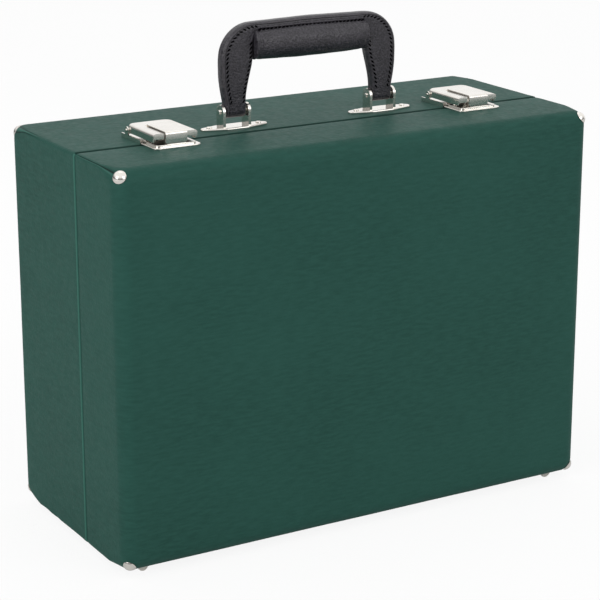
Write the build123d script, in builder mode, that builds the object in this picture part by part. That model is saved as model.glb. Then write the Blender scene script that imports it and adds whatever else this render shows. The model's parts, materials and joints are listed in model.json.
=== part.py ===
"""A horn case: a plywood box covered in leatherette, standing on its hinge side.

The origin is on the floor under the middle of the case. +X runs along the case, -Y looks out of
the lid, +Y out of the back and +Z out of the side with the handle. All sizes are millimetres.
"""

from build123d import *
import os

os.makedirs("parts", exist_ok=True)

# Allowances: how far a through cut runs past its wall, and how closely an edge is picked
cut_margin = 1.0
pick_margin = 0.05

# Case
case_width = 380.0
case_depth = 174.0
case_height = 280.0
lid_depth = 64.0
seam_gap = 0.4
panel_radius = 10.5
corner_radius = 3.0
panel_corner_radius = 12.0
corner_taper = 26.0
rim_radius = 0.6
foot_height = 4.5

# Walls, from the outside inwards
covering_wall = 0.8
frame_wall = 5.2
panel_wall = 4.0
lining_wall = 1.0

# Wooden lip inside the rear rim, which keeps the lid in line
lip_reach = 5.0
lip_root = 12.0
lip_wall = 2.3
lip_clearance = 0.35
lining_relief = 2.0

# Corner studs and feet
stud_diameter = 9.4
stud_rise = 2.8
stud_lift = 0.3
foot_flat = 4.0
foot_shoulder = 1.0
foot_inset_x = 19.0
foot_inset_y = 14.0

# Rivets
rivet_head = 4.0
rivet_rise = 0.8
rivet_edge_radius = 0.56
rivet_shank = 2.4

# Hinges under the case
hinge_inset = 80.0
hinge_length = 50.0
hinge_leaf_wall = 1.0
hinge_leaf_reach = 16.0
hinge_drop = 2.2
knuckle_radius = 1.9
knuckle_count = 5
knuckle_gap = 0.3
comb_clearance = 0.4
hinge_pin_diameter = 1.8
hinge_rivet_reach = 9.5
hinge_rivet_spacing = 18.0
running_clearance = 0.05

# Latches, with v measured backwards from the seam and h upwards from the top of the case
latch_inset = 67.0
latch_plate_width = 35.6
latch_plate_wall = 1.2
base_front_v = 0.6
base_rear_v = 30.0
ear_wall = 1.0
ear_radius = 2.4
ear_edge_radius = 0.4
base_rail_height = 3.0
cap_width = 33.0
cap_wall = 1.2
cap_front_v = -17.0
cap_rear_v = 25.0
cap_top = 10.0
cap_skirt_bottom = 4.2
cap_lip_bottom = 6.0
cap_corner_radius = 6.0
cap_edge_radius = 1.8
slot_rear_v = 12.0
slot_clearance = 0.75
pivot_v = 21.8
pivot_h = 6.0
pivot_pin_diameter = 2.0
pivot_pin_length = 36.8
pivot_pin_dome = 0.5
tongue_width = 16.0
tongue_wall = 1.5
tongue_rise = 1.0
tongue_bend = 2.0
tongue_rear_v = 10.0
tongue_pivot_v = 12.0
tongue_pivot_h = 6.2
barrel_radius = 2.2
strike_reach = 22.0
strike_tier_inset = 2.6
strike_tier_height = 2.5
strike_corner = 4.0
strike_tier_corner = 3.0
strike_edge_radius = 0.5
bead_width = 14.0
bead_depth = 1.8
bead_height = 3.0
catch_clearance = 0.3
spring_width = 8.0
spring_wall = 0.5
spring_rear_v = 16.0
spring_bend_v = 3.5
spring_bend_h = 4.6
spring_bend_radius = 1.2
spring_tip_v = 8.0
latch_rivet_side = 11.0
latch_rivet_front_v = 5.0
latch_rivet_rear_v = 27.4
strike_rivet_v = -5.0

# Handle brackets
bracket_spacing = 120.0
bracket_setback = 81.0
bracket_length = 52.0
bracket_breadth = 15.0
bracket_wall = 1.6
bracket_edge_radius = 0.96
bracket_tip = 3.4
bracket_ear_gap = 18.0
bracket_ear_wall = 2.0
bracket_ear_breadth = 10.0
handle_pin_height = 12.0
handle_pin_diameter = 3.0
handle_pin_end = 1.0
handle_pin_dome = 0.6
bracket_rivet_offset = 19.5

# Handle
handle_height = 74.0
handle_crown = 1.4
handle_leg_width = 20.5
handle_leg_shift = 0.8
handle_leg_root = 18.0
handle_leg_full = 27.0
handle_leg_clearance = 0.8
handle_thickness = 9.4
handle_shoulder = 25.0
handle_strap_depth = 8.0
handle_edge = 1.8
handle_foot_flat = 0.1
grip_length = 92.0
grip_radius = 12.0
grip_end_radius = 11.0
grip_height = 57.4
core_wall = 2.0
core_width = 5.0
core_shoulder = 12.0
core_end_gap = 1.0
eye_radius = 3.0

# Inside the case
cradle_setback = 12.0
cradle_top = 216.0
cradle_edge = 5.0
bell_pocket = 128.0
bell_pocket_inset = 8.0
bell_pocket_width = 62.0
throat_width = 44.0
valve_pocket_width = 118.0
valve_pocket_height = 150.0
valve_pocket_x = 38.0
valve_pocket_corner = 12.0
pocket_floor = 14.0
pocket_edge = 6.0
box_length = 176.0
box_wall = 4.0
box_setback = 14.0
box_lid_wall = 3.0
box_lid_clearance = 0.4
box_lid_edge_clearance = 0.8
box_pin_diameter = 2.0
box_pin_length = 6.0
box_pin_depth = 3.0
box_ledge = 4.0
tab_width = 16.0
tab_length = 10.0
tab_wall = 1.0
tab_corner = 4.0
mouthpiece_rim = 28.0
mouthpiece_rim_depth = 18.0
mouthpiece_shank = 13.0
mouthpiece_shank_depth = 60.0
mouthpiece_spacing = 62.0
lid_pad_wall = 18.0
lid_pad_margin = 4.0
lid_pad_edge = 6.0

# Places worked out from the sizes above
bottom = foot_height
top = bottom + case_height
middle = bottom + case_height / 2
front = -case_depth / 2
back = case_depth / 2
seam = front + lid_depth
rear_rim = seam + seam_gap / 2
lid_rim = seam - seam_gap / 2
hinge_axis = bottom - hinge_drop
wall = covering_wall + frame_wall
panel_inset = covering_wall + panel_wall
inner_inset = wall + lining_wall
rear_floor = back - panel_inset - lining_wall
lid_floor = front + panel_inset + lining_wall
bracket_y = front + bracket_setback
handle_axis = top + handle_pin_height
latch_places = {"left": latch_inset - case_width / 2, "right": case_width / 2 - latch_inset}
hinge_places = {"left": hinge_inset - case_width / 2, "right": case_width / 2 - hinge_inset}
bracket_places = {"left": -bracket_spacing / 2, "right": bracket_spacing / 2}


def block(low, high, mode=Mode.ADD):
    """A box between two corners, in the open builder."""
    centre = [(a + b) / 2 for a, b in zip(low, high)]
    with Locations(tuple(centre)):
        Box(*[abs(b - a) for a, b in zip(low, high)], mode=mode)


def case_block(inset, y_from, y_to, mode=Mode.ADD):
    """A box as wide and high as the case less an inset, between two depths."""
    low = (inset - case_width / 2, min(y_from, y_to), bottom + inset)
    high = (case_width / 2 - inset, max(y_from, y_to), top - inset)
    block(low, high, mode)


def save(part, name):
    """Label a finished piece and write it under its name."""
    part.label = name
    export_step(part, f"parts/{name}.step")


def rounded_case(inset):
    """The closed case, pulled in by an inset on every side.

    Its long corners are crisp in the middle and open out towards both panels.
    """
    width, height = case_width - 2 * inset, case_height - 2 * inset
    with BuildPart() as form:
        for outward, face in ((-1, front), (1, back)):
            near = (face - outward * corner_taper, corner_radius)
            far = (face - outward * inset, panel_corner_radius)
            for y, radius in (far, near):
                with BuildSketch(Plane.XZ.offset(-y)):
                    with Locations((0, middle)):
                        RectangleRounded(width, height, radius - inset)
            loft()
        with BuildSketch(Plane.XZ.offset(corner_taper - back)):
            with Locations((0, middle)):
                RectangleRounded(width, height, corner_radius - inset)
        extrude(amount=case_depth - 2 * corner_taper)
        ends = form.faces().sort_by(Axis.Y)
        fillet(ends[0].edges() + ends[-1].edges(), panel_radius - inset)
    return form.part


outer_form = rounded_case(0)
core_form = rounded_case(covering_wall)


def rivet_points():
    """Where each group of rivets goes through a wall: x and y."""
    points = {"hinge_rear": [], "hinge_lid": [], "bracket": [], "base": [], "strike": []}
    for x in hinge_places.values():
        for step in (-hinge_rivet_spacing, 0, hinge_rivet_spacing):
            points["hinge_rear"].append((x + step, seam + hinge_rivet_reach))
            points["hinge_lid"].append((x + step, seam - hinge_rivet_reach))
    for x in bracket_places.values():
        for step in (-bracket_rivet_offset, bracket_rivet_offset):
            points["bracket"].append((x + step, bracket_y))
    for x in latch_places.values():
        for step in (-latch_rivet_side, latch_rivet_side):
            points["base"].append((x + step, seam + latch_rivet_front_v))
            points["strike"].append((x + step, seam + strike_rivet_v))
        points["base"].append((x, seam + latch_rivet_rear_v))
    return points


rivets = rivet_points()


def shank_holes(points, z_from, z_to):
    """Holes for rivet shanks, cut from the open builder."""
    for x, y in points:
        with Locations((x, y, (z_from + z_to) / 2)):
            Cylinder(rivet_shank / 2, abs(z_to - z_from), mode=Mode.SUBTRACT)


def make_rivets(name, points, plate_face, wall_inside):
    """One node of rivets, with their heads on a plate and their shanks through the wall."""
    outwards = 1 if plate_face > wall_inside else -1
    turn = 0 if outwards > 0 else 180
    length = abs(plate_face - wall_inside)
    with BuildPart() as group:
        for x, y in points:
            with Locations(Location((x, y, plate_face), (turn, 0, 0))):
                Cylinder(rivet_head / 2, rivet_rise, align=(Align.CENTER, Align.CENTER, Align.MIN))
                Cylinder(rivet_shank / 2, length, align=(Align.CENTER, Align.CENTER, Align.MAX))
        rims = group.edges().filter_by(GeomType.CIRCLE)
        crown = plate_face + outwards * rivet_rise
        fillet(rims.filter_by(lambda e: abs(e.center().Z - crown) < pick_margin), rivet_edge_radius)
    save(group.part, name)


def make_half(prefix, rim, far):
    """The frame, panel and covering of one half, from its rim to its far face."""
    inward = 1 if far > rim else -1
    rim_core = rim + inward * covering_wall
    low_rivets = rivets["hinge_rear"] if inward > 0 else rivets["hinge_lid"]
    high_rivets = rivets["bracket"] + rivets["base"] if inward > 0 else rivets["strike"]

    with BuildPart() as core_half:
        add(core_form)
        case_block(0, rim_core, far, Mode.INTERSECT)

    with BuildPart() as covering:
        add(outer_form)
        case_block(0, rim, far, Mode.INTERSECT)
        rim_face = covering.faces().sort_by(Axis.Y)[0 if inward > 0 else -1]
        fillet(rim_face.edges(), rim_radius)
        add(core_half.part, mode=Mode.SUBTRACT)
        case_block(wall, rim, rim_core, Mode.SUBTRACT)
        shank_holes(low_rivets, bottom, bottom + covering_wall)
        shank_holes(high_rivets, top, top - covering_wall)
    save(covering.part, f"{prefix}_covering")

    with BuildPart() as frame:
        add(core_half.part)
        case_block(wall, rim, far, Mode.SUBTRACT)
        shank_holes(low_rivets, bottom, bottom + wall)
        shank_holes(high_rivets, top, top - wall)
    save(frame.part, f"{prefix}_frame")

    with BuildPart() as panel:
        add(core_form)
        case_block(wall, far - inward * panel_inset, far, Mode.INTERSECT)
    save(panel.part, f"{prefix}_panel")


def make_lining(name, opening, floor):
    """A tray of lining cloth inside one half, open at its rim end."""
    inward = 1 if floor > opening else -1
    with BuildPart() as lining:
        case_block(wall, opening, floor + inward * lining_wall)
        case_block(inner_inset, opening, floor, Mode.SUBTRACT)
    save(lining.part, name)


def make_rim_lip():
    """The lip inside the rear rim: its root on the rear frame, its free edge inside the lid."""
    lip_inside = wall + lip_wall
    with BuildPart() as lip:
        case_block(wall, rear_rim, rear_rim + lip_root)
        case_block(wall + lip_clearance, rear_rim, rear_rim - lip_reach)
        case_block(lip_inside, rear_rim - lip_reach, rear_rim + lip_root, Mode.SUBTRACT)
    save(lip.part, "rim_lip")


def make_studs_and_feet(prefix, far):
    """Dome nails over the corners of one half, and its two dome feet."""
    outward = 1 if far > 0 else -1
    radius = stud_diameter / 2
    sphere = (radius**2 + stud_rise**2) / (2 * stud_rise)
    seat = (panel_radius**2 - radius**2) ** 0.5 + stud_lift
    with BuildPart() as dome:
        with BuildSketch(Plane.XZ):
            with BuildLine():
                RadiusArc((radius, 0), (0, stud_rise), -sphere)
                Polyline((0, stud_rise), (0, 0), (radius, 0))
            make_face()
        revolve(axis=Axis.Z)

    with BuildPart() as studs:
        for side in (-1, 1):
            for level in (-1, 1):
                normal = Vector(side, outward, level).normalized()
                ball = Vector(
                    side * (case_width / 2 - panel_radius),
                    outward * (case_depth / 2 - panel_radius),
                    middle + level * (case_height / 2 - panel_radius),
                )
                base = ball + normal * seat
                with Locations(Plane(base, z_dir=normal)):
                    add(dome.part)
        add(outer_form, mode=Mode.SUBTRACT)
    save(studs.part, f"{prefix}_corner_studs")

    with BuildPart() as feet:
        with BuildSketch(Plane.XZ):
            with BuildLine():
                Line((0, 0), (foot_flat / 2, 0))
                ThreePointArc(
                    (foot_flat / 2, 0),
                    (stud_diameter / 2 - foot_shoulder, foot_height / 2),
                    (stud_diameter / 2, foot_height),
                )
                Line((stud_diameter / 2, foot_height), (0, foot_height))
                Line((0, foot_height), (0, 0))
            make_face()
        revolve(axis=Axis.Z)
    y = far - outward * foot_inset_y
    with BuildPart() as pair:
        for side in (-1, 1):
            with Locations((side * (case_width / 2 - foot_inset_x), y, 0)):
                add(feet.part)
    save(pair.part, f"{prefix}_feet")


def make_hinge_leaf(name, x, side, segments):
    """One leaf of a hinge: a comb-edged plate under the case and its share of the knuckles."""
    pitch = hinge_length / knuckle_count
    comb = knuckle_radius + comb_clearance
    hole = hinge_pin_diameter / 2 + running_clearance
    with BuildPart() as leaf:
        block(
            (x - hinge_length / 2, seam + side * comb, bottom - hinge_leaf_wall),
            (x + hinge_length / 2, seam + side * hinge_leaf_reach, bottom),
        )
        for index in segments:
            start = x - hinge_length / 2 + index * pitch + knuckle_gap / 2
            stop = start + pitch - knuckle_gap
            block((start, seam, bottom - hinge_leaf_wall), (stop, seam + side * comb, bottom))
            with Locations(Location(((start + stop) / 2, seam, hinge_axis), (0, 90, 0))):
                Cylinder(knuckle_radius, stop - start)
        crown = hinge_axis + knuckle_radius
        block(
            (x - hinge_length / 2, seam - side * comb, crown),
            (x + hinge_length / 2, seam + side * seam_gap, bottom),
            Mode.SUBTRACT,
        )
        with Locations(Location((x, seam, hinge_axis), (0, 90, 0))):
            Cylinder(hole, hinge_length + 2 * cut_margin, mode=Mode.SUBTRACT)
        points = rivets["hinge_rear"] if side > 0 else rivets["hinge_lid"]
        near = [point for point in points if abs(point[0] - x) < hinge_length / 2]
        shank_holes(near, bottom - hinge_leaf_wall, bottom)
    save(leaf.part, name)


def make_hinges():
    """Two butt hinges under the case, each of two leaves and a pin."""
    for place, x in hinge_places.items():
        make_hinge_leaf(f"hinge_{place}_rear_leaf", x, 1, range(0, knuckle_count, 2))
        make_hinge_leaf(f"hinge_{place}_lid_leaf", x, -1, range(1, knuckle_count, 2))
        with BuildPart() as pin:
            with Locations(Location((x, seam, hinge_axis), (0, 90, 0))):
                Cylinder(hinge_pin_diameter / 2, hinge_length)
        save(pin.part, f"hinge_{place}_pin")
    plate_face = bottom - hinge_leaf_wall
    make_rivets("hinge_rear_rivets", rivets["hinge_rear"], plate_face, bottom + wall)
    make_rivets("hinge_lid_rivets", rivets["hinge_lid"], plate_face, bottom + wall)


def latch_rod(x, v, h, radius, length, mode=Mode.ADD):
    """A rod along X at a latch's own v and h, in the open builder."""
    with Locations(Location((x, seam + v, top + h), (0, 90, 0))):
        Cylinder(radius, length, mode=mode)


def make_latch_base(name, x):
    """The base plate behind the seam, with low side rails that rise to ears at the pivot."""
    half = latch_plate_width / 2
    hole = pivot_pin_diameter / 2
    with BuildPart() as base:
        block(
            (x - half, seam + base_front_v, top),
            (x + half, seam + base_rear_v, top + latch_plate_wall),
        )
        for side in (-1, 1):
            outer = x + side * half
            inner = outer - side * ear_wall
            low = (min(inner, outer), seam + base_front_v, top)
            block(low, (max(inner, outer), seam + base_rear_v, top + base_rail_height))
            block(
                (min(inner, outer), seam + pivot_v - ear_radius, top),
                (max(inner, outer), seam + pivot_v + ear_radius, top + pivot_h),
            )
            latch_rod((inner + outer) / 2, pivot_v, pivot_h, ear_radius, ear_wall)
        corners = base.edges().filter_by(Axis.Z).sort_by(Axis.Y)[-4:]
        fillet(corners, ear_edge_radius)
        latch_rod(x, pivot_v, pivot_h, hole, latch_plate_width + cut_margin, Mode.SUBTRACT)
        near = [p for p in rivets["base"] if abs(p[0] - x) < half]
        shank_holes(near, top, top + latch_plate_wall)
    save(base.part, name)


def make_latch_cap(name, x):
    """The pressed cap over a latch, slotted in front for the tongue."""
    half = cap_width / 2
    low_v, high_v = seam + cap_front_v, seam + cap_rear_v
    slot = tongue_width / 2 + slot_clearance
    with BuildPart() as cap:
        block((x - half, low_v, top + cap_skirt_bottom), (x + half, high_v, top + cap_top))
        rear_corners = cap.edges().filter_by(Axis.Z).sort_by(Axis.Y)[-2:]
        fillet(rear_corners, cap_corner_radius)
        roof = cap.faces().sort_by(Axis.Z)[-1]
        fillet(roof.edges().filter_by(lambda e: e.center().Y > low_v + cap_wall), cap_edge_radius)
        inner_half = half - cap_wall
        with BuildSketch(Plane.XY.offset(top)):
            with Locations((x, (low_v + high_v) / 2)):
                hollow = Rectangle(2 * inner_half, high_v - low_v - 2 * cap_wall)
            fillet(hollow.vertices().sort_by(Axis.Y)[-2:], cap_corner_radius - cap_wall)
        extrude(amount=cap_top - cap_wall, mode=Mode.SUBTRACT)
        block(
            (x - half, low_v, top + cap_skirt_bottom),
            (x + half, low_v + cap_wall, top + cap_lip_bottom),
            Mode.SUBTRACT,
        )
        block((x - slot, low_v, top), (x + slot, seam + slot_rear_v, top + cap_top), Mode.SUBTRACT)
        hole = pivot_pin_diameter / 2 + running_clearance
        latch_rod(x, pivot_v, pivot_h, hole, cap_width + cut_margin, Mode.SUBTRACT)
        pin = pivot_pin_diameter / 2
        latch_rod(x, tongue_pivot_v, tongue_pivot_h, pin, cap_width + cut_margin, Mode.SUBTRACT)
    save(cap.part, name)


def make_latch_tongue(name, x):
    """The hasp: a flat tongue that bends down in front of the cap, curled round its pin."""
    roof = top + cap_top + tongue_rise
    under = roof - tongue_wall
    front_v = cap_front_v - tongue_wall
    foot = top + bead_height + catch_clearance
    barrel_v, barrel_h = tongue_pivot_v, top + tongue_pivot_h
    crown = barrel_h + barrel_radius
    with BuildPart() as tongue:
        with BuildSketch(Plane.YZ.offset(x - tongue_width / 2)):
            with BuildLine():
                Polyline(
                    (seam + front_v, foot),
                    (seam + front_v, roof),
                    (seam + tongue_rear_v, roof),
                    (seam + tongue_rear_v, under),
                    (seam + barrel_v - barrel_radius / 2, crown),
                    (seam + barrel_v, crown),
                    (seam + barrel_v, barrel_h),
                    (seam + barrel_v - barrel_radius, barrel_h),
                    (seam + tongue_rear_v - tongue_wall, under),
                    (seam + cap_front_v, under),
                    (seam + cap_front_v, foot),
                    (seam + front_v, foot),
                )
            make_face()
            with Locations((seam + barrel_v, barrel_h)):
                Circle(barrel_radius)
                Circle(pivot_pin_diameter / 2 + running_clearance, mode=Mode.SUBTRACT)
        extrude(amount=tongue_width)
        bend = tongue.edges().filter_by(Axis.X).sort_by(Axis.Y)[:2].sort_by(Axis.Z)[-1]
        fillet(bend, tongue_bend)
    save(tongue.part, name)


def make_latch_spring(name, x):
    """The flat spring on the base plate, bent back on itself under the tongue."""
    floor_h = latch_plate_wall + spring_wall / 2
    tip_h = cap_top + tongue_rise - tongue_wall - catch_clearance - spring_wall
    with BuildPart() as spring:
        with BuildSketch(Plane.YZ.offset(x - spring_width / 2)):
            with BuildLine() as path:
                FilletPolyline(
                    (seam + spring_rear_v, top + floor_h),
                    (seam + spring_bend_v, top + floor_h),
                    (seam + spring_bend_v, top + spring_bend_h),
                    (seam + spring_tip_v, top + tip_h),
                    radius=spring_bend_radius,
                )
            trace(path.line, line_width=spring_wall)
        extrude(amount=spring_width)
    save(spring.part, name)


def make_latch_strike(name, x):
    """The strike plate on the lid: two tiers with rounded corners, and the catch bead."""
    half = latch_plate_width / 2
    front_y = seam - strike_reach
    rear_y = seam - base_front_v
    inset = strike_tier_inset

    def in_front(edge):
        return edge.center().Y < rear_y - pick_margin

    with BuildPart() as strike:
        block((x - half, front_y, top), (x + half, rear_y, top + latch_plate_wall))
        fillet(strike.edges().filter_by(Axis.Z).sort_by(Axis.Y)[:2], strike_corner)
        lower = strike.faces().sort_by(Axis.Z)[-1]
        fillet(lower.edges().filter_by(in_front), strike_edge_radius)
        with BuildSketch(Plane.XY.offset(top + latch_plate_wall)):
            with Locations((x, (front_y + inset + rear_y) / 2)):
                tier = Rectangle(2 * (half - inset), rear_y - front_y - inset)
            fillet(tier.vertices().sort_by(Axis.Y)[:2], strike_tier_corner)
        extrude(amount=strike_tier_height - latch_plate_wall)
        upper = strike.faces().sort_by(Axis.Z)[-1]
        fillet(upper.edges().filter_by(in_front), strike_edge_radius)
        bead_y = seam + cap_front_v - tongue_wall / 2
        block(
            (x - bead_width / 2, bead_y - bead_depth / 2, top + latch_plate_wall),
            (x + bead_width / 2, bead_y + bead_depth / 2, top + bead_height),
        )
        near = [p for p in rivets["strike"] if abs(p[0] - x) < half]
        shank_holes(near, top, top + strike_tier_height)
    save(strike.part, name)


def make_latches():
    """Both latches, with the pins, springs and rivets that hold them."""
    for place, x in latch_places.items():
        make_latch_base(f"latch_{place}_base", x)
        make_latch_cap(f"latch_{place}_cap", x)
        make_latch_tongue(f"latch_{place}_tongue", x)
        make_latch_spring(f"latch_{place}_spring", x)
        make_latch_strike(f"latch_{place}_strike", x)
        with BuildPart() as pivot:
            latch_rod(x, pivot_v, pivot_h, pivot_pin_diameter / 2, pivot_pin_length)
            fillet(pivot.edges().filter_by(GeomType.CIRCLE), pivot_pin_dome)
        save(pivot.part, f"latch_{place}_pivot_pin")
        with BuildPart() as pin:
            latch_rod(x, tongue_pivot_v, tongue_pivot_h, pivot_pin_diameter / 2, cap_width)
        save(pin.part, f"latch_{place}_tongue_pin")
    make_rivets("latch_base_rivets", rivets["base"], top + latch_plate_wall, top - wall)
    make_rivets("latch_strike_rivets", rivets["strike"], top + strike_tier_height, top - wall)


def make_bracket(name, x):
    """A handle bracket: a long plate with rounded ends and two ears across the case."""
    tip_x = bracket_length / 2 - bracket_tip
    belly_x = bracket_breadth / 2
    with BuildPart() as bracket:
        with BuildSketch(Plane.XY.offset(top)):
            with Locations((x - tip_x, bracket_y), (x + tip_x, bracket_y)):
                Circle(bracket_tip)
            with Locations((x - belly_x, bracket_y), (x + belly_x, bracket_y)):
                Circle(bracket_breadth / 2)
            make_hull()
        extrude(amount=bracket_wall)
        fillet(bracket.faces().sort_by(Axis.Z)[-1].edges(), bracket_edge_radius)
        for side in (-1, 1):
            inner = x + side * bracket_ear_gap / 2
            outer = inner + side * bracket_ear_wall
            half = bracket_ear_breadth / 2
            block(
                (min(inner, outer), bracket_y - half, top + bracket_wall / 2),
                (max(inner, outer), bracket_y + half, handle_axis),
            )
            with Locations(Location(((inner + outer) / 2, bracket_y, handle_axis), (0, 90, 0))):
                Cylinder(half, bracket_ear_wall)
        with Locations(Location((x, bracket_y, handle_axis), (0, 90, 0))):
            Cylinder(handle_pin_diameter / 2, bracket_length, mode=Mode.SUBTRACT)
        near = [p for p in rivets["bracket"] if abs(p[0] - x) < bracket_length / 2]
        shank_holes(near, top, top + bracket_wall)
    save(bracket.part, name)


def make_brackets():
    """Both brackets with their pins and rivets."""
    span = bracket_ear_gap + 2 * bracket_ear_wall + 2 * handle_pin_end
    for place, x in bracket_places.items():
        make_bracket(f"handle_bracket_{place}", x)
        with BuildPart() as pin:
            with Locations(Location((x, bracket_y, handle_axis), (0, 90, 0))):
                Cylinder(handle_pin_diameter / 2, span)
            fillet(pin.edges().filter_by(GeomType.CIRCLE), handle_pin_dome)
        save(pin.part, f"handle_pin_{place}")
    make_rivets("handle_bracket_rivets", rivets["bracket"], top + bracket_wall, top - wall)


def handle_outline():
    """The handle's side profile, with the space under the grip left open."""
    bracket_x = bracket_spacing / 2
    outer = bracket_x + handle_leg_shift + handle_leg_width / 2
    leg_inner = outer - handle_leg_width
    root_half = bracket_ear_gap / 2 - handle_leg_clearance
    foot = handle_pin_height - handle_thickness / 2
    grip_end = grip_length / 2
    under = handle_height - handle_strap_depth
    shoulder_z = handle_height - handle_crown
    points = [
        (bracket_x - root_half, foot),
        (bracket_x + root_half, foot),
        (bracket_x + root_half, handle_leg_root),
        (outer, handle_leg_full),
        (outer, shoulder_z),
        (0, handle_height),
    ]
    inner = [
        (0, under),
        (grip_end, under),
        (grip_end, grip_height - grip_radius),
        (leg_inner, handle_leg_full),
        (bracket_x - root_half, handle_leg_root),
    ]
    with BuildSketch(Plane.XZ.offset(-bracket_y - handle_thickness / 2)) as profile:
        with BuildLine():
            Polyline(*[(x, top + z) for x, z in points + inner + points[:1]])
        make_face()
        corner = profile.vertices().group_by(Axis.X)[-1].sort_by(Axis.Y)[-1]
        fillet(corner, handle_shoulder)
        mirror(about=Plane.YZ)
    return profile.sketch


def make_handle():
    """The leather handle: strap with two legs, steel band, bushes and stuffed grip."""
    bracket_x = bracket_spacing / 2
    with BuildPart() as core:
        level = top + handle_height - handle_strap_depth / 2
        with BuildSketch(Plane.XZ.offset(-bracket_y - core_width / 2)):
            with BuildLine() as path:
                FilletPolyline(
                    (-bracket_x, handle_axis + eye_radius + core_end_gap),
                    (-bracket_x, level),
                    (bracket_x, level),
                    (bracket_x, handle_axis + eye_radius + core_end_gap),
                    radius=core_shoulder,
                )
            trace(path.line, line_width=core_wall)
        extrude(amount=core_width)
    save(core.part, "handle_core")

    outline = handle_outline()
    with BuildPart() as strap:
        extrude(outline, amount=handle_thickness, dir=(0, -1, 0))
        foot_edges = strap.faces().sort_by(Axis.Z)[:2].edges().filter_by(Axis.X)
        fillet(foot_edges, (handle_thickness - handle_foot_flat) / 2)
        above_legs = strap.faces().filter_by(Axis.Y).edges().filter_by(
            lambda edge: edge.center().Z > top + handle_leg_full
        )
        mid_strap = top + handle_height - handle_strap_depth / 2
        fillet(
            above_legs.filter_by(
                lambda edge: abs(edge.center().X) > bracket_x or edge.center().Z > mid_strap
            ),
            handle_edge,
        )
        for x in (-bracket_x, bracket_x):
            with Locations(Location((x, bracket_y, handle_axis), (0, 90, 0))):
                Cylinder(eye_radius, bracket_ear_gap, mode=Mode.SUBTRACT)
        add(core.part, mode=Mode.SUBTRACT)
    save(strap.part, "handle_strap")

    with BuildPart() as eyes:
        width = bracket_ear_gap - 2 * handle_leg_clearance
        for x in (-bracket_x, bracket_x):
            with Locations(Location((x, bracket_y, handle_axis), (0, 90, 0))):
                Cylinder(eye_radius, width)
                Cylinder(handle_pin_diameter / 2 + running_clearance, width, mode=Mode.SUBTRACT)
    save(eyes.part, "handle_eyes")

    with BuildPart() as grip:
        with BuildSketch(Plane.XZ.offset(-bracket_y)):
            with BuildLine():
                level = top + grip_height
                half = grip_length / 2
                ThreePointArc(
                    (-half, level + grip_end_radius),
                    (0, level + grip_radius),
                    (half, level + grip_end_radius),
                )
                Polyline(
                    (half, level + grip_end_radius),
                    (half, level),
                    (-half, level),
                    (-half, level + grip_end_radius),
                )
            make_face()
        revolve(axis=Axis((0, bracket_y, top + grip_height), (1, 0, 0)))
        add(strap.part, mode=Mode.SUBTRACT)
        add(core.part, mode=Mode.SUBTRACT)
    save(grip.part, "handle_grip")


def make_cradle():
    """The padded block that holds the horn, with its pocket open towards the lid."""
    face = rear_rim + cradle_setback
    left = -case_width / 2 + inner_inset
    right = case_width / 2 - inner_inset
    low = bottom + inner_inset
    centre_z = (low + cradle_top) / 2
    bell_x = left + bell_pocket_inset
    with BuildPart() as cradle:
        block((left, face, low), (right, rear_floor, cradle_top))
        fillet(cradle.faces().sort_by(Axis.Y)[0].edges(), cradle_edge)
        with BuildSketch(Plane.XZ.offset(-rear_floor + pocket_floor)):
            with BuildLine():
                Polyline(
                    (bell_x, centre_z - bell_pocket / 2),
                    (bell_x, centre_z + bell_pocket / 2),
                    (bell_x + bell_pocket_width, centre_z + throat_width / 2),
                    (right - bell_pocket_inset, centre_z + throat_width / 2),
                    (right - bell_pocket_inset, centre_z - throat_width / 2),
                    (bell_x + bell_pocket_width, centre_z - throat_width / 2),
                    (bell_x, centre_z - bell_pocket / 2),
                )
            make_face()
            with Locations((valve_pocket_x, centre_z)):
                RectangleRounded(valve_pocket_width, valve_pocket_height, valve_pocket_corner)
        extrude(amount=case_depth, mode=Mode.SUBTRACT)
        floor_y = rear_floor - pocket_floor
        floor = cradle.faces().filter_by(lambda f: abs(f.center().Y - floor_y) < pick_margin)
        fillet(floor.edges(), pocket_edge)
    save(cradle.part, "horn_cradle")


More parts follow.
